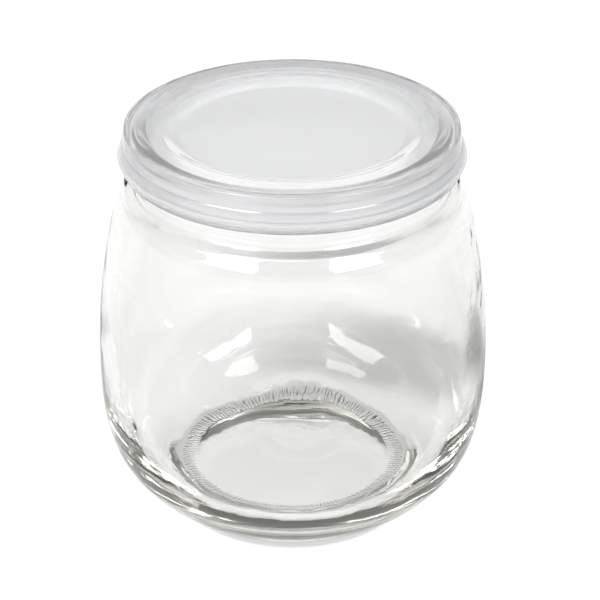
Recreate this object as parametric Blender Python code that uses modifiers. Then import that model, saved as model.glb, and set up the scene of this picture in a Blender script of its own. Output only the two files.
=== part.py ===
"""A small glass yoghurt jar and its press-on plastic lid, in metres, standing on z = 0 around the Z axis."""

import math

import bpy

MM = 0.001

# The jar's outside: a barrel that widens to its middle, then a heel that runs in to a small foot.
BODY_RADIUS = 37.5 * MM
BODY_WIDEST_HEIGHT = 28.85 * MM
BARREL_ARC_RADIUS = 133.4 * MM
BARREL_TOP = 61.8 * MM
HEEL_DROP = 18.2 * MM
HEEL_KNEE = (33.75 * MM, 8.0 * MM)
HEEL_SLOPE = math.radians(37.7)
FOOT_RADIUS = 22.0 * MM
FOOT_ROUND = 4.0 * MM
FOOT_WIDTH = 1.6 * MM
PUSH_UP = 1.7 * MM

# The shoulder, and the neck that the lid presses on to.
SHOULDER_LEAN_RADIUS = 13 * MM
SHOULDER_LEAN_END = math.radians(30)
SHOULDER_ROUND = 2.2 * MM
SHOULDER_END = math.radians(70)
NECK_FILLET = 1.1 * MM
NECK_RADIUS = 29.2 * MM
BEAD_RADIUS = 29.9 * MM
BEAD_BOTTOM = 72.2 * MM
BEAD_SLOPE_HEIGHT = 0.7 * MM
RIM_HEIGHT = 76.3 * MM
RIM_ROUND = 1.4 * MM
MOUTH_RADIUS = 26.4 * MM
MOUTH_BOTTOM = 68.2 * MM

# The glass is thinnest at the barrel and thickest round the heel.
WALL = 2.6 * MM
INNER_SHOULDER_BOTTOM = 59.5 * MM
INNER_HEEL_KNEE_HEIGHT = 15.2 * MM
FLOOR_EDGE = (21.0 * MM, 9.0 * MM)
FLOOR_CORNER_REACH = 9.6 * MM
FLOOR_CENTRE_HEIGHT = 9.0 * MM

# The lid: a flat panel in a shallow well, a rounded ring over the jar's rim, and a flared skirt.
LID_WALL = 0.8 * MM
PANEL_RADIUS = 20.85 * MM
PANEL_HEIGHT = 76.25 * MM
WELL_RADIUS = 24.5 * MM
WELL_TOP = 77.42 * MM
RING_LINE_RADIUS = 27.3 * MM
RING_LINE_HEIGHT = 77.74 * MM
RING_CREST = (28.9 * MM, 78.1 * MM)
CREASE_RADIUS = 30.7 * MM
CREASE_HEIGHT = 77.7 * MM
SKIRT_TOP_RADIUS = 31.0 * MM
SKIRT_STEP = (31.25 * MM, 74.8 * MM)
SKIRT_STEP_WIDTH = 0.2 * MM
LIP_BEAD = (32.3 * MM, 72.5 * MM)
LIP_BEAD_ROUND = 0.75 * MM
LIP_BOTTOM = (31.55 * MM, 70.6 * MM)
LIP_INNER_RADIUS = 30.75 * MM
SKIRT_INNER_RADIUS = 30.25 * MM
HOLD_RIB = (29.7 * MM, 71.6 * MM)

TURN_STEPS = 60


def arc(centre, radius, start, end, pieces):
    """Points (radius, height) on a round stretch; the angles count up from the outward direction."""
    angles = (start + (end - start) * i / pieces for i in range(pieces + 1))
    return [(centre[0] + radius * math.cos(a), centre[1] + radius * math.sin(a)) for a in angles]


def centre_behind(point, angle, radius):
    """The centre of a round stretch that passes through a point, facing out at this angle there."""
    return (point[0] - radius * math.cos(angle), point[1] - radius * math.sin(angle))


def bezier(ends_and_handles, pieces):
    """Points on a cubic curve from its first point to its last, which are both in the list."""
    a, b, c, d = ends_and_handles
    curve = []
    for i in range(pieces + 1):
        t = i / pieces
        weights = ((1 - t) ** 3, 3 * (1 - t) ** 2 * t, 3 * (1 - t) * t**2, t**3)
        curve.append(tuple(sum(w * p[k] for w, p in zip(weights, (a, b, c, d))) for k in range(2)))
    return curve


def joined(*stretches):
    """One outline from several stretches, with the points that two of them share kept once."""
    outline = []
    for stretch in stretches:
        for point in stretch:
            if not outline or math.dist(point, outline[-1]) > 0.02 * MM:
                outline.append(point)
    return outline


def barrel_radius(height):
    """The jar's outer radius on the barrel, one long arc through its widest point."""
    rise = height - BODY_WIDEST_HEIGHT
    return BODY_RADIUS - BARREL_ARC_RADIUS + math.sqrt(BARREL_ARC_RADIUS**2 - rise**2)


def barrel(top, bottom, inset, pieces):
    heights = [top + (bottom - top) * i / pieces for i in range(pieces + 1)]
    return [(barrel_radius(height) - inset, height) for height in heights]


def jar_outside():
    """From the rim's outer edge down to the push-up's centre."""
    rim_edge = arc((BEAD_RADIUS - RIM_ROUND, RIM_HEIGHT - RIM_ROUND), RIM_ROUND, math.pi / 2, 0, 3)
    bead = [
        (BEAD_RADIUS, BEAD_BOTTOM + BEAD_SLOPE_HEIGHT),
        (NECK_RADIUS, BEAD_BOTTOM),
    ]
    lean = math.asin((BARREL_TOP - BODY_WIDEST_HEIGHT) / BARREL_ARC_RADIUS)
    barrel_end = (barrel_radius(BARREL_TOP), BARREL_TOP)
    lean_centre = centre_behind(barrel_end, lean, SHOULDER_LEAN_RADIUS)
    leaning = arc(lean_centre, SHOULDER_LEAN_RADIUS, SHOULDER_LEAN_END, lean, 3)
    round_centre = centre_behind(leaning[0], SHOULDER_LEAN_END, SHOULDER_ROUND)
    shoulder = arc(round_centre, SHOULDER_ROUND, SHOULDER_END, SHOULDER_LEAN_END, 3)
    slope = math.tan(math.pi / 2 - SHOULDER_END)
    fillet_centre_radius = NECK_RADIUS + NECK_FILLET
    run = shoulder[0][0] - fillet_centre_radius
    fillet_bottom = shoulder[0][1] + slope * run
    fillet_centre = (fillet_centre_radius, fillet_bottom + NECK_FILLET / math.sin(SHOULDER_END))
    neck = arc(fillet_centre, NECK_FILLET, math.pi, math.pi + SHOULDER_END, 2)
    foot_line_end = (FOOT_RADIUS + FOOT_ROUND * math.sin(HEEL_SLOPE), FOOT_ROUND * (1 - math.cos(HEEL_SLOPE)))
    widest = (BODY_RADIUS, BODY_WIDEST_HEIGHT)
    heel_handle = (BODY_RADIUS, BODY_WIDEST_HEIGHT - HEEL_DROP)
    heel = bezier((widest, heel_handle, HEEL_KNEE, foot_line_end), 9)
    foot = arc((FOOT_RADIUS, FOOT_ROUND), FOOT_ROUND, HEEL_SLOPE - math.pi / 2, -math.pi / 2, 3)
    push_up_edge = FOOT_RADIUS - FOOT_WIDTH
    under = bezier(
        ((push_up_edge, 0), (push_up_edge - 4 * MM, PUSH_UP), (push_up_edge / 2, PUSH_UP), (0, PUSH_UP)), 3
    )
    side = barrel(BARREL_TOP, BODY_WIDEST_HEIGHT, 0, 5)
    return joined(rim_edge, bead, neck, shoulder, leaning, side, heel, foot, under)


def jar_inside():
    """From the floor's centre up to the rim's inner edge."""
    floor = bezier(
        (
            (0, FLOOR_CENTRE_HEIGHT),
            (FLOOR_EDGE[0] / 3, FLOOR_CENTRE_HEIGHT),
            (FLOOR_EDGE[0] * 2 / 3, FLOOR_EDGE[1]),
            FLOOR_EDGE,
        ),
        2,
    )
    widest = (BODY_RADIUS - WALL, BODY_WIDEST_HEIGHT)
    corner_handle = (FLOOR_EDGE[0] + FLOOR_CORNER_REACH, FLOOR_EDGE[1])
    heel = bezier((FLOOR_EDGE, corner_handle, (widest[0], INNER_HEEL_KNEE_HEIGHT), widest), 7)
    wall = barrel(BODY_WIDEST_HEIGHT, INNER_SHOULDER_BOTTOM, WALL, 4)
    shoulder = bezier(
        (
            wall[-1],
            (wall[-1][0] - 1.3 * MM, wall[-1][1] + 4 * MM),
            (MOUTH_RADIUS, MOUTH_BOTTOM - 4 * MM),
            (MOUTH_RADIUS, MOUTH_BOTTOM),
        ),
        4,
    )
    rim_edge = arc((MOUTH_RADIUS + RIM_ROUND, RIM_HEIGHT - RIM_ROUND), RIM_ROUND, math.pi, math.pi / 2, 3)
    return joined(floor, heel, wall, shoulder, rim_edge)


def lid_outside():
    """From the panel's centre over the ring and down the skirt to the lip's lower edge."""
    panel = [(0, PANEL_HEIGHT), (PANEL_RADIUS - 0.6 * MM, PANEL_HEIGHT)]
    well = bezier(
        (
            (PANEL_RADIUS - 0.6 * MM, PANEL_HEIGHT),
            (PANEL_RADIUS + 1.2 * MM, PANEL_HEIGHT),
            (WELL_RADIUS - 1.2 * MM, WELL_TOP - 0.35 * MM),
            (WELL_RADIUS, WELL_TOP),
        ),
        3,
    )
    crown = bezier(
        (
            (RING_LINE_RADIUS, RING_LINE_HEIGHT),
            RING_CREST,
            (CREASE_RADIUS - 0.5 * MM, RING_CREST[1]),
            (CREASE_RADIUS, CREASE_HEIGHT),
        ),
        4,
    )
    step = [
        (SKIRT_TOP_RADIUS, CREASE_HEIGHT - 0.05 * MM),
        SKIRT_STEP,
        (SKIRT_STEP[0] + SKIRT_STEP_WIDTH, SKIRT_STEP[1] - SKIRT_STEP_WIDTH),
    ]
    bead_centre = (LIP_BEAD[0] - LIP_BEAD_ROUND, LIP_BEAD[1])
    bead = arc(bead_centre, LIP_BEAD_ROUND, math.radians(55), math.radians(-12), 3)
    return joined(panel, well, crown, step, bead, [LIP_BOTTOM])


def lid_inside():
    """From the lip's inner edge up behind the skirt and in under the ring and the panel."""
    under_ring = CREASE_HEIGHT - LID_WALL
    return [
        (LIP_INNER_RADIUS, LIP_BOTTOM[1] - 0.05 * MM),
        (HOLD_RIB[0] + 0.25 * MM, HOLD_RIB[1] - 0.35 * MM),
        HOLD_RIB,
        (HOLD_RIB[0] + 0.1 * MM, HOLD_RIB[1] + 0.3 * MM),
        (SKIRT_INNER_RADIUS, HOLD_RIB[1] + 0.9 * MM),
        (SKIRT_INNER_RADIUS, under_ring - 0.5 * MM),
        (SKIRT_INNER_RADIUS - 0.5 * MM, under_ring),
        (RING_LINE_RADIUS, under_ring),
        (WELL_RADIUS, WELL_TOP - LID_WALL),
        (PANEL_RADIUS, PANEL_HEIGHT - LID_WALL),
        (0, PANEL_HEIGHT - LID_WALL),
    ]


def plain_material(name, colour, roughness, transmission):
    material = bpy.data.materials.new(name)
    material.use_nodes = True
    shader = material.node_tree.nodes["Principled BSDF"]
    shader.inputs["Base Color"].default_value = (*colour, 1)
    shader.inputs["Roughness"].default_value = roughness
    shader.inputs["Metallic"].default_value = 0
    shader.inputs["Transmission Weight"].default_value = transmission
    return material


def turned(name, outline, material, collection):
    """Turns an outline of (radius, height) points, whose outer side runs downwards, about the Z axis."""
    mesh = bpy.data.meshes.new(name)
    edges = [(i, i + 1) for i in range(len(outline) - 1)]
    mesh.from_pydata([(radius, 0, height) for radius, height in outline], edges, [])
    mesh.materials.append(material)
    piece = bpy.data.objects.new(name, mesh)
    collection.objects.link(piece)
    screw = piece.modifiers.new("Turn", "SCREW")
    screw.axis = "Z"
    screw.steps = screw.render_steps = TURN_STEPS
    screw.use_merge_vertices = True
    screw.merge_threshold = 0.01 * MM
    screw.use_smooth_shade = True
    return piece


def main():
    for old in list(bpy.data.objects):
        bpy.data.objects.remove(old)
    collection = bpy.data.collections.new("lidded_jar")
    bpy.context.scene.collection.children.link(collection)
    glass = plain_material("clear_glass", (0.93, 0.95, 0.94), 0.03, 1.0)
    plastic = plain_material("translucent_plastic", (0.82, 0.84, 0.86), 0.3, 0.6)
    turned("jar", joined(jar_inside(), jar_outside()), glass, collection)
    turned("lid", joined(lid_outside(), lid_inside()), plastic, collection)


main()
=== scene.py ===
"""The looks of a small glass yoghurt jar with a translucent press-on lid.

Lengths are in metres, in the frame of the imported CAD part, whose two solids these two pieces stand for.
"""

import math

import bpy
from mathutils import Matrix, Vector, noise


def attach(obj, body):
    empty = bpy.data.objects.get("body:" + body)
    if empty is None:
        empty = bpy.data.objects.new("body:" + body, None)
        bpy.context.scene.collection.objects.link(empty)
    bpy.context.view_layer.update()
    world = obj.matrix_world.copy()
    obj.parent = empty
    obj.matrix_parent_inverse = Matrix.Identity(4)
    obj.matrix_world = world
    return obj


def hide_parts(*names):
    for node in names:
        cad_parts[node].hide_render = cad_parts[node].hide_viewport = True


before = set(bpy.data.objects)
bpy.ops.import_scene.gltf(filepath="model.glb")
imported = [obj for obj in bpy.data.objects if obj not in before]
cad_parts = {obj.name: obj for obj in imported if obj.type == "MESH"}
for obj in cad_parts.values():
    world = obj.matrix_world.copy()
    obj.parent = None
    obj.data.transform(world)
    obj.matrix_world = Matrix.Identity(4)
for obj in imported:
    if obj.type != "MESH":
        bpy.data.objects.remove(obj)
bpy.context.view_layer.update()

MM = 0.001

# A point nearer the axis than the first gap is on it. Points nearer each other than the second are one.
AXIS_GAP = 0.01 * MM
SAME_POINT_GAP = 0.02 * MM
# A rounded corner takes at most this share of each line beside it.
CORNER_SHARE = 0.45

# The jar's outside, as the CAD turns it: barrel, shoulder, neck, bead, rim, heel, foot and push-up.
BODY_RADIUS = 37.5 * MM
BODY_WIDEST_HEIGHT = 28.85 * MM
BARREL_ARC_RADIUS = 133.4 * MM
BARREL_TOP = 61.8 * MM
SHOULDER_LEAN_RADIUS = 13 * MM
SHOULDER_LEAN_END = math.radians(30)
SHOULDER_ROUND = 2.2 * MM
SHOULDER_END = math.radians(70)
NECK_FILLET = 1.1 * MM
NECK_RADIUS = 29.2 * MM
NECK_UNDER_BEAD = 2 * MM
BEAD_RADIUS = 29.9 * MM
BEAD_BOTTOM = 72.2 * MM
BEAD_SLOPE_HEIGHT = 0.7 * MM
BEAD_CORNER_ROUND = 0.5 * MM
RIM_HEIGHT = 76.3 * MM
RIM_ROUND = 1.4 * MM
HEEL_DROP = 18.2 * MM
HEEL_KNEE = (33.75 * MM, 8.0 * MM)
HEEL_SLOPE = math.radians(37.7)
FOOT_RADIUS = 22.0 * MM
FOOT_ROUND = 4.0 * MM
FOOT_WIDTH = 1.6 * MM
PUSH_UP = 1.7 * MM
PUSH_UP_HANDLE = 4 * MM

# The jar's inside. Its shoulder leaves the wall by a handle that goes in and up, and comes to the mouth by
# an upright one.
WALL = 2.6 * MM
MOUTH_RADIUS = 26.4 * MM
MOUTH_BOTTOM = 68.2 * MM
MOUTH_HANDLE = 3 * MM
INNER_SHOULDER_BOTTOM = 61 * MM
INNER_SHOULDER_HANDLE = (1 * MM, 3.4 * MM)
INNER_HEEL_KNEE_HEIGHT = 15.2 * MM
FLOOR_EDGE = (21 * MM, 9.0 * MM)
FLOOR_CORNER_REACH = 9.6 * MM
FLOOR_CENTRE_HEIGHT = 9.0 * MM

# What blowing does to the inside. The floor leans up to the back, and a soft lump lies on it. The heel is
# filled out at the back, from where the sine of the angle passes a start; a bend under 1 keeps this low.
FLOOR_LEAN = 0.035
LUMP_PLACE = (1.5 * MM, 14 * MM)
LUMP_REACH = (7 * MM, 8 * MM)
LUMP_HEIGHT = 2.0 * MM
BACK_FILL = 1.2 * MM
BACK_FILL_START = 0.2
BACK_FILL_BEND = 0.5

# Soft waves in the glass's skin, with finer and weaker ones on top.
WAVE_LENGTH = 13 * MM
FINER_BY, FINER_STRENGTH = 2.3, 0.35
INNER_SEED = Vector((11.3, 2.9, 5.2))
OUTER_SEED = Vector((3.1, 7.7, 1.9))

# The inside's waves die down to nothing below the mouth and at the floor's centre, and to a share of
# their height at the heel. From the floor to the wall they turn from upright to sideways.
INNER_WAVE = 0.12 * MM
MOUTH_CALM_HEIGHT = 4 * MM
CENTRE_CALM_RADIUS = 5 * MM
HEEL_CALM = 0.4
HEEL_CALM_HEIGHT = 4 * MM
FLOOR_TO_WALL = (1 * MM, 6 * MM)

# The outside's waves only go inwards. They grow between two heights above the foot and end between two
# heights below the neck.
OUTER_WAVE_DEPTH = 0.09 * MM
OUTER_WAVE_GROWS = (3 * MM, 9 * MM)
OUTER_WAVE_ENDS = (64 * MM, 66 * MM)

# The knurl is a ring of short grooves pressed into the foot, each a little out of line.
KNURL_BARS = 160
KNURL_RADIUS = 21.8 * MM
KNURL_HALF_WIDTH = 1.5 * MM
KNURL_DEPTH = 0.32 * MM
KNURL_TOP = 1 * MM
KNURL_SOFT_END = 0.5
KNURL_STRAY = 2
KNURL_STRAY_LENGTH = 4 * MM

# The lid: its panel, the well's slope around that, the ring, the crease, the skirt and the lip.
LID_WALL = 0.8 * MM
PANEL_RADIUS = 20.85 * MM
PANEL_HEIGHT = 76.25 * MM
PANEL_FLAT_SHARE = 0.97
WELL_RADIUS = 24.5 * MM
WELL_TOP = 77.42 * MM
WELL_HANDLE = 1.2 * MM
WELL_HANDLE_DROP = 0.35 * MM
RING_LINE_RADIUS = 27.3 * MM
RING_LINE_HEIGHT = 77.74 * MM
RING_CREST = (28.9 * MM, 78.1 * MM)
RING_HANDLE = 0.5 * MM
CREASE_RADIUS = 30.7 * MM
CREASE_HEIGHT = 77.7 * MM
SKIRT_TOP_RADIUS = 31.0 * MM
SKIRT_GROOVE = [
    (SKIRT_TOP_RADIUS - 0.05 * MM, CREASE_HEIGHT - 0.06 * MM),
    (SKIRT_TOP_RADIUS - 0.2 * MM, CREASE_HEIGHT - 0.2 * MM),
    (SKIRT_TOP_RADIUS, CREASE_HEIGHT - 0.34 * MM),
]
SKIRT_STEP = (31.25 * MM, 74.8 * MM)
SKIRT_STEP_WIDTH = 0.2 * MM
SKIRT_END_INSET = 0.2 * MM
SKIRT_CORNER_ROUND = 0.08 * MM
LIP_BEAD = (32.3 * MM, 72.5 * MM)
LIP_BEAD_ROUND = 0.75 * MM
LIP_BEAD_START, LIP_BEAD_END = math.radians(45), math.radians(-12)

# The lid's underside, from the lip inwards. The rib holds the lid under the jar's bead.
LIP_BEAD_UNDERSIDE = (LIP_BEAD[0] - 0.02 * MM, LIP_BEAD[1] - 0.16 * MM)
LIP_BOTTOM = (31.55 * MM, 70.6 * MM)
LIP_INNER_EDGE = (30.75 * MM, LIP_BOTTOM[1] - 0.05 * MM)
HOLD_RIB = (29.7 * MM, 71.6 * MM)
HOLD_RIB_START = (HOLD_RIB[0] + 0.25 * MM, HOLD_RIB[1] - 0.35 * MM)
HOLD_RIB_END = (HOLD_RIB[0] + 0.1 * MM, HOLD_RIB[1] + 0.3 * MM)
SKIRT_INNER_RADIUS = 30.25 * MM
SKIRT_INNER_BOTTOM = HOLD_RIB[1] + 0.9 * MM
INNER_CORNER_CUT = 0.5 * MM
UNDERSIDE_ROUND = 0.35 * MM

# How many points a ring of each mesh has.
JAR_STEPS, LID_STEPS = 640, 720

# The glass. Bumps are (points a metre, strength, height), here and for the plastic.
GLASS_COLOUR = (0.988, 0.988, 0.987)
GLASS_IOR = 1.52
GLASS_BUMPS = [(110, 0.25, 0.4 * MM), (420, 0.08, 0.2 * MM)]
GLASS_DEPTH_COLOUR = (0.951, 0.949, 0.936)
GLASS_DEPTH_DENSITY = 100

# The plastic. Its zones go outwards, as (radius, clearness, roughness of its inner side, glow of its inner
# side).
# The glow is painted light, standing in for light that the milky plastic scatters.
PLASTIC_ZONES = [
    (PANEL_RADIUS, 0.74, 0.38, 0.14),
    (WELL_RADIUS, 0.87, 0.27, 0.12),
    (28.6 * MM, 0.87, 0.27, 0.12),
    (29.4 * MM, 0.90, 0.15, 0.18),
    (SKIRT_INNER_RADIUS - 0.1 * MM, 0.90, 0.15, 0.18),
    (CREASE_RADIUS, 0.66, 0.5, 0),
]
PLASTIC_IOR = 1.5
PLASTIC_COAT, PLASTIC_COAT_ROUGHNESS = 0.4, 0.03
PLASTIC_BUMPS = [(160, 0.1, 0.2 * MM), (1800, 0.05, 0.1 * MM)]
OUTER_ROUGHNESS = 0.05
TOP_COLOUR = (0.98, 0.984, 0.992)
# The skirt is the same plastic as the top; its darker grey is painted shade.
SKIRT_PAINTED_SHADE_COLOUR = (0.60, 0.605, 0.615)
# The colour of the inner side's painted glow.
PAINTED_GLOW_COLOUR = (0.97, 0.98, 1.0)

# The camera, in metres and degrees, and its focal length in the photograph's pixels.
CAMERA_PLACE = (0, -0.340, 0.2291)
CAMERA_PITCH = 29.02
CAMERA_YAW = 0.24
FOCAL_PIXELS = 2019.5
IMAGE_PIXELS = 600
SENSOR_WIDTH = 36.0
NEAR_CLIP = 10 * MM

# The table. It glows, a little less where only the glass and the lid see it. A painted contact shadow
# darkens a ring under the foot. Each painted shade is a soft oval, as (middle x and y, half length, half
# width, turn in degrees, darkest level); it fades from one share of the oval's size to another. The first
# stands for the jar's own shadow behind it on the right, the middle two for darker stretches seen at the
# glass's right and left edges, and the last for the table's light falling off to the right.
TABLE_RADIUS, TABLE_SIDES = 3.0, 96
TABLE_DROP = 0.2 * MM
TABLE_GREYS = (0.14, 0.16)
TABLE_GRAIN = 6
TABLE_ROUGHNESS, TABLE_SHINE = 0.7, 0.2
TABLE_GLOW, TABLE_GLOW_SEEN = 0.84, 0.95
CONTACT_RADIUS, CONTACT_HALF_WIDTH, CONTACT_FADE = 22.7 * MM, 1.3 * MM, 0.9 * MM
CONTACT_LEVEL = 0.68
SHADE_FADE = (0.4, 1.25)
PAINTED_TABLE_SHADES = [
    (34 * MM, 40 * MM, 56 * MM, 19 * MM, -6, 0.6),
    (84 * MM, 46 * MM, 22 * MM, 26 * MM, 0, 0.5),
    (-76 * MM, 56 * MM, 16 * MM, 13 * MM, 20, 0.66),
    (150 * MM, 0, 190 * MM, 260 * MM, 0, 0.82),
]

# The world: a bright wall up to a low elevation, in degrees, and a dim room above it. A softbox is
# (azimuth, elevation, half width, half height, edge) in degrees and the brightness that it adds. The last
# two are dark flags above the horizon, which take brightness away.
WALL_TOP, WALL_FADE = 9, 6
WALL_LEVEL = 1.0
ROOM_LEVEL = 0.15
SOFTBOXES = [
    (-139, 50, 20, 15, 1.5, 8.5),
    (-40, 50, 17, 13, 1.5, 8.5),
    (-125, 78, 50, 13, 4, 3.0),
    (-8, 10, 36, 4, 6, -0.4),
    (172, 10, 22, 4, 6, -0.25),
]


# ---- outlines, as lists of (radius, height) points ----


def straight(start, end, pieces):
    """Points on a line from its first point to its last, which are both in the list."""
    return [
        tuple(start[k] + (end[k] - start[k]) * i / pieces for k in range(2))
        for i in range(pieces + 1)
    ]


def arc(centre, radius, start, end, pieces):
    """Points on a round stretch; the angles count up from the outward direction."""
    angles = (start + (end - start) * i / pieces for i in range(pieces + 1))
    return [(centre[0] + radius * math.cos(a), centre[1] + radius * math.sin(a)) for a in angles]


def centre_behind(point, angle, radius):
    """The centre of a round stretch that passes through a point, facing out at this angle there."""
    return (point[0] - radius * math.cos(angle), point[1] - radius * math.sin(angle))


def bezier(ends_and_handles, pieces):
    """Points on a cubic curve from its first point to its last, which are both in the list."""
    a, b, c, d = ends_and_handles
    curve = []
    for i in range(pieces + 1):
        t = i / pieces
        weights = ((1 - t) ** 3, 3 * (1 - t) ** 2 * t, 3 * (1 - t) * t**2, t**3)
        curve.append(tuple(sum(w * p[k] for w, p in zip(weights, (a, b, c, d))) for k in range(2)))
    return curve


def joined(*stretches):
    """One outline from several stretches, with the points that two of them share kept once."""
    outline = []
    for stretch in stretches:
        for point in stretch:
            if not outline or math.dist(point, outline[-1]) > SAME_POINT_GAP:
                outline.append(point)
    return outline


def towards(corner, other, distance):
    """The point at this distance from a corner on the way to another point."""
    whole = math.dist(corner, other)
    return tuple(corner[k] + (other[k] - corner[k]) * distance / whole for k in range(2))


def softened(corners, radius, pieces=3):
    """The corner points as an outline whose inner corners are rounded by about this radius."""
    outline = [corners[0]]
    for before, corner, after in zip(corners, corners[1:], corners[2:]):
        shorter_side = min(math.dist(before, corner), math.dist(corner, after))
        cut = min(radius, CORNER_SHARE * shorter_side)
        start, end = towards(corner, before, cut), towards(corner, after, cut)
        for i in range(pieces + 1):
            t = i / pieces
            weights = ((1 - t) ** 2, 2 * t * (1 - t), t * t)
            outline.append(
                tuple(sum(w * p[k] for w, p in zip(weights, (start, corner, end))) for k in range(2))
            )
    outline.append(corners[-1])
    return outline


def barrel_radius(height):
    """The jar's outer radius at a height on the barrel."""
    rise = height - BODY_WIDEST_HEIGHT
    return BODY_RADIUS - BARREL_ARC_RADIUS + math.sqrt(BARREL_ARC_RADIUS**2 - rise**2)


def barrel(start, end, inset, pieces):
    """The barrel's side between two heights, this far inside its outer face."""
    heights = [start + (end - start) * i / pieces for i in range(pieces + 1)]
    return [(barrel_radius(height) - inset, height) for height in heights]


def rim_and_bead():
    """From the rim's top down to the neck."""
    rim_centre = (BEAD_RADIUS - RIM_ROUND, RIM_HEIGHT - RIM_ROUND)
    rim_edge = arc(rim_centre, RIM_ROUND, math.pi / 2, 0, pieces=6)
    bead_corners = [
        (BEAD_RADIUS, RIM_HEIGHT - RIM_ROUND),
        (BEAD_RADIUS, BEAD_BOTTOM + BEAD_SLOPE_HEIGHT),
        (NECK_RADIUS, BEAD_BOTTOM),
        (NECK_RADIUS, BEAD_BOTTOM - NECK_UNDER_BEAD),
    ]
    return rim_edge + softened(bead_corners, BEAD_CORNER_ROUND)


def neck_and_shoulder():
    """From the neck's fillet out over the shoulder to the barrel's top."""
    lean = math.asin((BARREL_TOP - BODY_WIDEST_HEIGHT) / BARREL_ARC_RADIUS)
    barrel_end = (barrel_radius(BARREL_TOP), BARREL_TOP)
    lean_centre = centre_behind(barrel_end, lean, SHOULDER_LEAN_RADIUS)
    leaning = arc(lean_centre, SHOULDER_LEAN_RADIUS, SHOULDER_LEAN_END, lean, pieces=5)
    round_centre = centre_behind(leaning[0], SHOULDER_LEAN_END, SHOULDER_ROUND)
    shoulder = arc(round_centre, SHOULDER_ROUND, SHOULDER_END, SHOULDER_LEAN_END, pieces=5)
    slope = math.tan(math.pi / 2 - SHOULDER_END)
    fillet_centre_radius = NECK_RADIUS + NECK_FILLET
    run = shoulder[0][0] - fillet_centre_radius
    fillet_bottom = shoulder[0][1] + slope * run
    fillet_centre = (fillet_centre_radius, fillet_bottom + NECK_FILLET / math.sin(SHOULDER_END))
    neck = arc(fillet_centre, NECK_FILLET, math.pi, math.pi + SHOULDER_END, pieces=5)
    return neck + shoulder + leaning


def heel_and_foot():
    """From the barrel's widest place down the heel and under the foot to the push-up's centre."""
    widest = (BODY_RADIUS, BODY_WIDEST_HEIGHT)
    heel_handle = (BODY_RADIUS, BODY_WIDEST_HEIGHT - HEEL_DROP)
    heel_end = (
        FOOT_RADIUS + FOOT_ROUND * math.sin(HEEL_SLOPE),
        FOOT_ROUND * (1 - math.cos(HEEL_SLOPE)),
    )
    heel = bezier((widest, heel_handle, HEEL_KNEE, heel_end), pieces=22)
    foot_centre = (FOOT_RADIUS, FOOT_ROUND)
    foot = arc(foot_centre, FOOT_ROUND, HEEL_SLOPE - math.pi / 2, -math.pi / 2, pieces=8)
    edge = FOOT_RADIUS - FOOT_WIDTH
    flat = straight((FOOT_RADIUS, 0), (edge, 0), pieces=3)
    edge_handle = (edge - PUSH_UP_HANDLE, PUSH_UP)
    under = bezier(((edge, 0), edge_handle, (edge / 2, PUSH_UP), (0, PUSH_UP)), pieces=10)
    return heel + foot + flat + under


def jar_outside():
    """From the rim's top down to the push-up's centre."""
    side = barrel(BARREL_TOP, BODY_WIDEST_HEIGHT, 0, pieces=14)
    return joined(rim_and_bead(), neck_and_shoulder(), side, heel_and_foot())


def jar_inside():
    """From the floor's centre up to the rim's top."""
    edge_radius, edge_height = FLOOR_EDGE
    centre = (0, FLOOR_CENTRE_HEIGHT)
    centre_handle = (edge_radius / 3, FLOOR_CENTRE_HEIGHT)
    edge_handle = (edge_radius * 2 / 3, edge_height)
    floor = bezier((centre, centre_handle, edge_handle, FLOOR_EDGE), pieces=9)

    widest = (BODY_RADIUS - WALL, BODY_WIDEST_HEIGHT)
    corner_handle = (edge_radius + FLOOR_CORNER_REACH, edge_height)
    knee = (widest[0], INNER_HEEL_KNEE_HEIGHT)
    heel = bezier((FLOOR_EDGE, corner_handle, knee, widest), pieces=18)
    wall = barrel(BODY_WIDEST_HEIGHT, INNER_SHOULDER_BOTTOM, WALL, pieces=12)

    wall_end = wall[-1]
    inwards, upwards = INNER_SHOULDER_HANDLE
    wall_handle = (wall_end[0] - inwards, wall_end[1] + upwards)
    mouth_handle = (MOUTH_RADIUS, MOUTH_BOTTOM - MOUTH_HANDLE)
    mouth = (MOUTH_RADIUS, MOUTH_BOTTOM)
    shoulder = bezier((wall_end, wall_handle, mouth_handle, mouth), pieces=9)
    rim_centre = (MOUTH_RADIUS + RIM_ROUND, RIM_HEIGHT - RIM_ROUND)
    rim_edge = arc(rim_centre, RIM_ROUND, math.pi, math.pi / 2, pieces=6)
    return joined(floor, heel, wall, shoulder, rim_edge)


def lid_outside():
    """From the panel's centre over the ring and down the skirt to the lip's bead."""
    panel_end = (PANEL_RADIUS * PANEL_FLAT_SHARE, PANEL_HEIGHT)
    panel = straight((0, PANEL_HEIGHT), panel_end, pieces=12)
    panel_handle = (PANEL_RADIUS + WELL_HANDLE, PANEL_HEIGHT)
    well_handle = (WELL_RADIUS - WELL_HANDLE, WELL_TOP - WELL_HANDLE_DROP)
    well = bezier((panel[-1], panel_handle, well_handle, (WELL_RADIUS, WELL_TOP)), pieces=9)

    ring_line = (RING_LINE_RADIUS, RING_LINE_HEIGHT)
    ring_handle = (CREASE_RADIUS - RING_HANDLE, RING_CREST[1])
    crease = (CREASE_RADIUS, CREASE_HEIGHT)
    crown = bezier((ring_line, RING_CREST, ring_handle, crease), pieces=12)

    step_bottom = (SKIRT_STEP[0] + SKIRT_STEP_WIDTH, SKIRT_STEP[1] - SKIRT_STEP_WIDTH)
    skirt_end = (LIP_BEAD[0] - SKIRT_END_INSET, LIP_BEAD[1] + LIP_BEAD_ROUND)
    skirt_corners = [crease, *SKIRT_GROOVE, SKIRT_STEP, step_bottom, skirt_end]
    skirt = softened(skirt_corners, SKIRT_CORNER_ROUND)
    bead_centre = (LIP_BEAD[0] - LIP_BEAD_ROUND, LIP_BEAD[1])
    bead = arc(bead_centre, LIP_BEAD_ROUND, LIP_BEAD_START, LIP_BEAD_END, pieces=6)
    return joined(panel, well, crown, skirt, bead)


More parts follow.
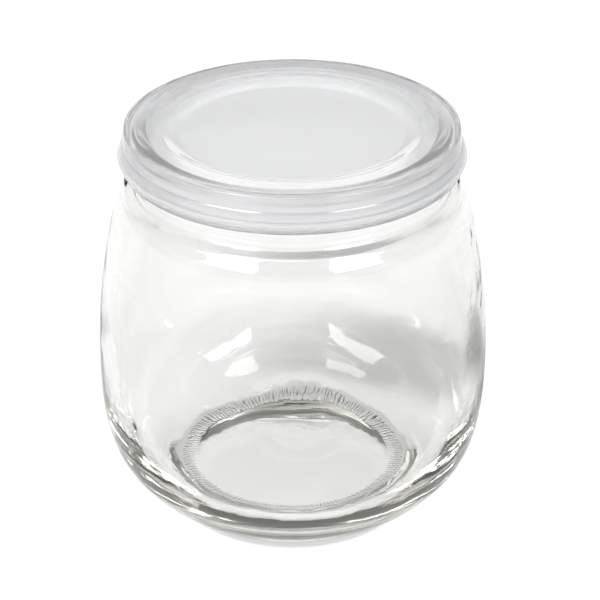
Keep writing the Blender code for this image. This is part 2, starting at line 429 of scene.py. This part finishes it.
def lid_inside():
    """Round the lip's lower edge, up behind the skirt and in under the ring and the panel."""
    under_ring = CREASE_HEIGHT - LID_WALL
    under_panel = PANEL_HEIGHT - LID_WALL
    corners = [
        LIP_BEAD_UNDERSIDE,
        LIP_BOTTOM,
        LIP_INNER_EDGE,
        HOLD_RIB_START,
        HOLD_RIB,
        HOLD_RIB_END,
        (SKIRT_INNER_RADIUS, SKIRT_INNER_BOTTOM),
        (SKIRT_INNER_RADIUS, under_ring - INNER_CORNER_CUT),
        (SKIRT_INNER_RADIUS - INNER_CORNER_CUT, under_ring),
        (RING_LINE_RADIUS, under_ring),
        (WELL_RADIUS, WELL_TOP - LID_WALL),
        (PANEL_RADIUS, under_panel),
        (PANEL_RADIUS / 2, under_panel),
        (0, under_panel),
    ]
    return softened(corners, UNDERSIDE_ROUND)


# ---- meshes ----


def points_around(radius, steps):
    """How many points the ring of this radius has: one where it lies on the axis."""
    return 1 if radius < AXIS_GAP else steps


def turned_mesh(name, outline, steps, skin):
    """Turns an outline about the axis; skin(angle, radius, height) says where each point lies."""
    points, faces, rings = [], [], []
    for radius, height in outline:
        count = points_around(radius, steps)
        rings.append((len(points), count))
        for i in range(count):
            angle = 2 * math.pi * i / steps
            skin_radius, skin_height = skin(angle, radius, height)
            across, along = skin_radius * math.cos(angle), skin_radius * math.sin(angle)
            points.append((across, along, skin_height))
    for (low, low_count), (high, high_count) in zip(rings, rings[1:]):
        for i in range(steps):
            j = (i + 1) % steps
            if low_count == 1:
                faces.append((low, high + i, high + j))
            elif high_count == 1:
                faces.append((low + i, high, low + j))
            else:
                faces.append((low + i, high + i, high + j, low + j))
    mesh = bpy.data.meshes.new(name)
    mesh.from_pydata(points, [], faces)
    mesh.shade_smooth()
    piece = bpy.data.objects.new(name, mesh)
    bpy.context.scene.collection.objects.link(piece)
    return piece


def wander(angle, radius, height, seed, length):
    """A smooth random value, about -1 to 1, on the glass's skin."""
    at = Vector((radius * math.cos(angle), radius * math.sin(angle), height)) / length
    return noise.noise(at + seed) + FINER_STRENGTH * noise.noise(FINER_BY * at + seed)


def clamped(value):
    return min(max(value, 0), 1)


def smooth_step(low, high, value):
    """Goes smoothly from 0 at the low end to 1 at the high end."""
    t = clamped((value - low) / (high - low))
    return t * t * (3 - 2 * t)


def back_fill(angle, height):
    """How much thicker the back of the heel is."""
    floor_height = FLOOR_EDGE[1]
    up_heel = clamped((height - floor_height) / (BODY_WIDEST_HEIGHT - floor_height)) ** BACK_FILL_BEND
    at_back = smooth_step(BACK_FILL_START, 1, math.sin(angle))
    return BACK_FILL * at_back * math.sin(math.pi * up_heel) ** 2


def floor_lump(angle, radius, height):
    """How high the soft lump stands here; only the floor and the heel have it."""
    if height >= BODY_WIDEST_HEIGHT:
        return 0
    off_x = (radius * math.cos(angle) - LUMP_PLACE[0]) / LUMP_REACH[0]
    off_y = (radius * math.sin(angle) - LUMP_PLACE[1]) / LUMP_REACH[1]
    return LUMP_HEIGHT * math.exp(-off_x * off_x - off_y * off_y)


def inner_skin(angle, radius, height):
    """The radius and height of a point of the inside in the blown glass."""
    floor_height = FLOOR_EDGE[1]
    room = 1 - smooth_step(MOUTH_BOTTOM - MOUTH_CALM_HEIGHT, MOUTH_BOTTOM, height)
    above_heel = smooth_step(floor_height + HEEL_CALM_HEIGHT, BODY_WIDEST_HEIGHT, height)
    room *= HEEL_CALM + (1 - HEEL_CALM) * above_heel
    shift = INNER_WAVE * room * wander(angle, radius, height, INNER_SEED, WAVE_LENGTH)
    low, high = (floor_height + rise for rise in FLOOR_TO_WALL)
    on_floor = 1 - smooth_step(low, high, height)
    outwards = shift * (1 - on_floor) * min(1, radius / CENTRE_CALM_RADIUS)

    leaning = 1 - smooth_step(floor_height, BODY_WIDEST_HEIGHT, height)
    lean = FLOOR_LEAN * radius * math.sin(angle) * leaning
    fill = back_fill(angle, height)
    raised = lean + fill + floor_lump(angle, radius, height)
    return radius + outwards - fill, height + shift * on_floor + raised


def knurl(angle, radius, height):
    """How deep the grooves under the foot are here."""
    from_ring = abs(radius - KNURL_RADIUS) / KNURL_HALF_WIDTH
    if height >= KNURL_TOP or from_ring >= 1:
        return 0
    stray = KNURL_STRAY * wander(angle, radius, 0, OUTER_SEED, KNURL_STRAY_LENGTH)
    bar = 0.5 + 0.5 * math.cos(KNURL_BARS * angle + stray)
    return KNURL_DEPTH * (1 - bar) * smooth_step(0, KNURL_SOFT_END, 1 - from_ring)


def outer_skin(angle, radius, height):
    """The radius and height of a point of the outside in the blown glass."""
    on_body = smooth_step(*OUTER_WAVE_GROWS, height) * (1 - smooth_step(*OUTER_WAVE_ENDS, height))
    wave = 0.5 + 0.5 * wander(angle, radius, height, OUTER_SEED, WAVE_LENGTH)
    return radius - OUTER_WAVE_DEPTH * on_body * clamped(wave), height + knurl(angle, radius, height)


def make_jar():
    inside = jar_inside()
    inner_points = set(inside)

    def skin(angle, radius, height):
        side = inner_skin if (radius, height) in inner_points else outer_skin
        return side(angle, radius, height)

    return turned_mesh("jar_glass", joined(inside, jar_outside()), JAR_STEPS, skin)


def make_lid():
    """The lid, with an inner_side attribute of 1 on its underside, which its material reads."""

    def skin(_angle, radius, height):
        return radius, height

    outside = lid_outside()
    outline = joined(outside, lid_inside())
    lid = turned_mesh("lid_plastic", outline, LID_STEPS, skin)
    inner_side = []
    for i, (radius, _height) in enumerate(outline):
        inner_side += [float(i >= len(outside))] * points_around(radius, LID_STEPS)
    lid.data.attributes.new("inner_side", "FLOAT", "POINT").data.foreach_set("value", inner_side)
    return lid


# ---- material nodes ----


def new_material(name):
    material = bpy.data.materials.new(name)
    material.use_nodes = True
    return material, material.node_tree, material.node_tree.nodes["Principled BSDF"]


def spread(tree, value, start, end, first, last):
    """Changes smoothly from the first level to the last as the value goes from the start to the end."""
    ramp = tree.nodes.new("ShaderNodeMapRange")
    ramp.interpolation_type = "SMOOTHSTEP"
    for name, number in zip(("From Min", "From Max", "To Min", "To Max"), (start, end, first, last)):
        ramp.inputs[name].default_value = number
    tree.links.new(value, ramp.inputs["Value"])
    return ramp.outputs[0]


def calculated(tree, operation, *values):
    """A sum, product or the like of sockets and numbers."""
    node = tree.nodes.new("ShaderNodeMath")
    node.operation = operation
    for socket, value in zip(node.inputs, values):
        if isinstance(value, (int, float)):
            socket.default_value = value
        else:
            tree.links.new(value, socket)
    return node.outputs[0]


def length_of(tree, vector):
    node = tree.nodes.new("ShaderNodeVectorMath")
    node.operation = "LENGTH"
    tree.links.new(vector, node.inputs[0])
    return node.outputs["Value"]


def distance_from_axis(tree, place):
    level_place = tree.nodes.new("ShaderNodeVectorMath")
    level_place.operation = "MULTIPLY"
    level_place.inputs[1].default_value = (1, 1, 0)
    tree.links.new(place, level_place.inputs[0])
    return length_of(tree, level_place.outputs["Vector"])


def bump_from_noise(tree, shader, layers):
    """Chains soft noise bumps, each (points a metre, strength, height), into the shader's normal."""
    place = tree.nodes.new("ShaderNodeTexCoord").outputs["Object"]
    normal = None
    for scale, strength, distance in layers:
        texture = tree.nodes.new("ShaderNodeTexNoise")
        texture.inputs["Scale"].default_value = scale
        texture.inputs["Detail"].default_value = 1.0
        tree.links.new(place, texture.inputs["Vector"])
        bump = tree.nodes.new("ShaderNodeBump")
        bump.inputs["Strength"].default_value = strength
        bump.inputs["Distance"].default_value = distance
        tree.links.new(texture.outputs["Fac"], bump.inputs["Height"])
        if normal is not None:
            tree.links.new(normal, bump.inputs["Normal"])
        normal = bump.outputs["Normal"]
    tree.links.new(normal, shader.inputs["Normal"])


# ---- materials ----


def glass_material():
    """Clear all through; the volume's absorption greys it where it is thick."""
    material, tree, shader = new_material("clear_glass")
    shader.inputs["Base Color"].default_value = (*GLASS_COLOUR, 1)
    shader.inputs["Roughness"].default_value = 0.0
    shader.inputs["IOR"].default_value = GLASS_IOR
    shader.inputs["Transmission Weight"].default_value = 1.0
    bump_from_noise(tree, shader, GLASS_BUMPS)
    absorb = tree.nodes.new("ShaderNodeVolumeAbsorption")
    absorb.inputs["Color"].default_value = (*GLASS_DEPTH_COLOUR, 1)
    absorb.inputs["Density"].default_value = GLASS_DEPTH_DENSITY
    tree.links.new(absorb.outputs[0], tree.nodes["Material Output"].inputs["Volume"])
    return material


def zone_value(tree, radius, column):
    """One column of the plastic's zones, changing smoothly from each zone to the next."""
    level = None
    for inner, outer in zip(PLASTIC_ZONES, PLASTIC_ZONES[1:]):
        step = spread(tree, radius, inner[0], outer[0], inner[column], outer[column])
        if level is not None:
            tree.links.new(level, step.node.inputs["To Min"])
        level = step
    return level


def plastic_material():
    """Smooth outside and matt inside, so what lies behind it blurs; the ring is the clearest part. Its
    inner side's glow is painted light, and the skirt's darker grey is painted shade.
    """
    material, tree, shader = new_material("translucent_plastic")
    links = tree.links
    shader.inputs["IOR"].default_value = PLASTIC_IOR
    shader.inputs["Coat Weight"].default_value = PLASTIC_COAT
    shader.inputs["Coat Roughness"].default_value = PLASTIC_COAT_ROUGHNESS
    shader.inputs["Emission Color"].default_value = (*PAINTED_GLOW_COLOUR, 1)
    bump_from_noise(tree, shader, PLASTIC_BUMPS)
    side = tree.nodes.new("ShaderNodeAttribute")
    side.attribute_name = "inner_side"
    on_inner_side = side.outputs["Fac"]
    radius = distance_from_axis(tree, tree.nodes.new("ShaderNodeTexCoord").outputs["Object"])
    columns = range(1, len(PLASTIC_ZONES[0]))
    clearness, inner_roughness, painted_glow = (zone_value(tree, radius, column) for column in columns)

    links.new(clearness, shader.inputs["Transmission Weight"])
    roughness = spread(tree, on_inner_side, 0, 1, OUTER_ROUGHNESS, 0)
    links.new(inner_roughness, roughness.node.inputs["To Max"])
    links.new(roughness, shader.inputs["Roughness"])
    # Painted light: the inner side glows by its zone's share, standing in for light scattered in the milky
    # plastic.
    painted_glow_strength = calculated(tree, "MULTIPLY", painted_glow, on_inner_side)
    links.new(painted_glow_strength, shader.inputs["Emission Strength"])
    # Painted shade: the skirt gets a darker grey than the top, though it is the same plastic.
    colour = tree.nodes.new("ShaderNodeMixRGB")
    on_top = spread(tree, radius, SKIRT_INNER_RADIUS, CREASE_RADIUS, 1, 0)
    links.new(on_top, colour.inputs["Fac"])
    colour.inputs[1].default_value = (*SKIRT_PAINTED_SHADE_COLOUR, 1)
    colour.inputs[2].default_value = (*TOP_COLOUR, 1)
    links.new(colour.outputs["Color"], shader.inputs["Base Color"])
    return material


def painted_oval_shades(tree, place):
    """The table's level under all of the soft ovals of painted shade together."""
    level = None
    for x, y, half_length, half_width, turn, darkest in PAINTED_TABLE_SHADES:
        oval = tree.nodes.new("ShaderNodeMapping")
        oval.vector_type = "TEXTURE"
        oval.inputs["Location"].default_value = (x, y, 0)
        oval.inputs["Rotation"].default_value = (0, 0, math.radians(turn))
        oval.inputs["Scale"].default_value = (half_length, half_width, 1)
        tree.links.new(place, oval.inputs["Vector"])
        shade = spread(tree, length_of(tree, oval.outputs["Vector"]), *SHADE_FADE, darkest, 1)
        level = shade if level is None else calculated(tree, "MULTIPLY", level, shade)
    return level


def painted_contact_shade(tree, place):
    """The table's level under the painted contact shadow, a dark ring where the foot stands."""
    off_ring = calculated(tree, "SUBTRACT", length_of(tree, place), CONTACT_RADIUS)
    distance = calculated(tree, "ABSOLUTE", off_ring)
    edge = CONTACT_HALF_WIDTH + CONTACT_FADE
    return spread(tree, distance, CONTACT_HALF_WIDTH, edge, CONTACT_LEVEL, 1)


def floor_material():
    """A glowing table. The camera sees plain white, and the soft ovals of painted shade show only through
    the glass; the painted contact shadow under the foot dims both.
    """
    material, tree, shader = new_material("studio_floor")
    place = tree.nodes.new("ShaderNodeTexCoord").outputs["Object"]
    path = tree.nodes.new("ShaderNodeLightPath")
    glow = spread(tree, path.outputs["Is Camera Ray"], 0, 1, 0, TABLE_GLOW_SEEN)
    # Painted shade: the ovals dim the glow that only the glass and the lid see.
    shaded_glow = spread(tree, painted_oval_shades(tree, place), 0, 1, 0, TABLE_GLOW)
    tree.links.new(shaded_glow, glow.node.inputs["To Min"])
    # The painted contact shadow under the foot dims the glow for every ray.
    strength = calculated(tree, "MULTIPLY", glow, painted_contact_shade(tree, place))
    tree.links.new(strength, shader.inputs["Emission Strength"])
    shader.inputs["Emission Color"].default_value = (1, 1, 1, 1)

    texture = tree.nodes.new("ShaderNodeTexNoise")
    texture.inputs["Scale"].default_value = TABLE_GRAIN
    ramp = tree.nodes.new("ShaderNodeValToRGB")
    for element, grey in zip(ramp.color_ramp.elements, TABLE_GREYS):
        element.color = (grey, grey, grey, 1)
    tree.links.new(texture.outputs["Fac"], ramp.inputs["Fac"])
    tree.links.new(ramp.outputs["Color"], shader.inputs["Base Color"])
    shader.inputs["Roughness"].default_value = TABLE_ROUGHNESS
    shader.inputs["Specular IOR Level"].default_value = TABLE_SHINE
    return material


# ---- studio ----


def make_floor():
    bpy.ops.mesh.primitive_circle_add(
        vertices=TABLE_SIDES, radius=TABLE_RADIUS, fill_type="NGON", location=(0, 0, -TABLE_DROP)
    )
    floor = bpy.context.object
    floor.name = "studio_floor"
    floor.data.materials.append(floor_material())


def angle_from(tree, direction, azimuth):
    """How far a direction lies to either side of an azimuth, in radians."""
    turn = tree.nodes.new("ShaderNodeVectorRotate")
    turn.rotation_type = "Z_AXIS"
    turn.inputs["Angle"].default_value = -math.radians(azimuth)
    tree.links.new(direction, turn.inputs["Vector"])
    parts = tree.nodes.new("ShaderNodeSeparateXYZ")
    tree.links.new(turn.outputs["Vector"], parts.inputs["Vector"])
    angle = calculated(tree, "ARCTAN2", parts.outputs["Y"], parts.outputs["X"])
    return calculated(tree, "ABSOLUTE", angle)


def elevation_of(tree, direction):
    """How far a direction lies above the horizon, in radians."""
    parts = tree.nodes.new("ShaderNodeSeparateXYZ")
    tree.links.new(direction, parts.inputs["Vector"])
    return calculated(tree, "ARCSINE", parts.outputs["Z"])


def spread_by_angle(tree, angle, start, end, first, last):
    """The same as spread for an angle in radians, with its start and end in degrees."""
    return spread(tree, angle, math.radians(start), math.radians(end), first, last)


def studio_light(tree):
    """The wall's and the room's brightness, with the softboxes and flags added to it."""
    direction = tree.nodes.new("ShaderNodeTexCoord").outputs["Generated"]
    up = elevation_of(tree, direction)
    level = spread_by_angle(tree, up, WALL_TOP, WALL_TOP + WALL_FADE, WALL_LEVEL, ROOM_LEVEL)
    for azimuth, elevation, half_width, half_height, edge, gain in SOFTBOXES:
        across = angle_from(tree, direction, azimuth)
        sides = spread_by_angle(tree, across, half_width, half_width + edge, 1, 0)
        above = calculated(tree, "SUBTRACT", up, math.radians(elevation))
        off_level = calculated(tree, "ABSOLUTE", above)
        ends = spread_by_angle(tree, off_level, half_height, half_height + edge, 1, 0)
        patch = calculated(tree, "MULTIPLY", sides, ends)
        level = calculated(tree, "ADD", level, calculated(tree, "MULTIPLY", patch, gain))
    return level


def make_world():
    """The studio's light on the jar, behind which the camera sees plain white."""
    world = bpy.data.worlds.new("studio")
    bpy.context.scene.world = world
    world.use_nodes = True
    tree = world.node_tree
    nodes, links = tree.nodes, tree.links
    nodes.clear()
    studio = nodes.new("ShaderNodeBackground")
    links.new(studio_light(tree), studio.inputs["Strength"])
    plain = nodes.new("ShaderNodeBackground")
    for light in (studio, plain):
        light.inputs["Color"].default_value = (1, 1, 1, 1)
    path = nodes.new("ShaderNodeLightPath")
    mix = nodes.new("ShaderNodeMixShader")
    links.new(path.outputs["Is Camera Ray"], mix.inputs["Fac"])
    links.new(studio.outputs[0], mix.inputs[1])
    links.new(plain.outputs[0], mix.inputs[2])
    output = nodes.new("ShaderNodeOutputWorld")
    links.new(mix.outputs[0], output.inputs["Surface"])


def make_camera():
    camera = bpy.data.cameras.new("camera")
    camera.sensor_width = SENSOR_WIDTH
    camera.lens = SENSOR_WIDTH * FOCAL_PIXELS / IMAGE_PIXELS
    camera.clip_start = NEAR_CLIP
    holder = bpy.data.objects.new("camera", camera)
    holder.location = CAMERA_PLACE
    holder.rotation_euler = (math.radians(90 - CAMERA_PITCH), 0, math.radians(-CAMERA_YAW))
    bpy.context.scene.collection.objects.link(holder)
    bpy.context.scene.camera = holder


def set_light_paths():
    """Lets light through all the walls of glass and plastic that lie behind one another."""
    scene = bpy.context.scene
    scene.view_settings.view_transform = "Standard"
    scene.cycles.max_bounces = 24
    scene.cycles.transmission_bounces = 24
    scene.cycles.glossy_bounces = 12
    scene.cycles.transparent_max_bounces = 16


def main():
    jar = make_jar()
    jar.data.materials.append(glass_material())
    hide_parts("jar")
    lid = make_lid()
    lid.data.materials.append(plastic_material())
    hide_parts("lid")
    for piece in (jar, lid):
        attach(piece, "root")
    make_floor()
    make_world()
    make_camera()
    set_light_paths()


main()
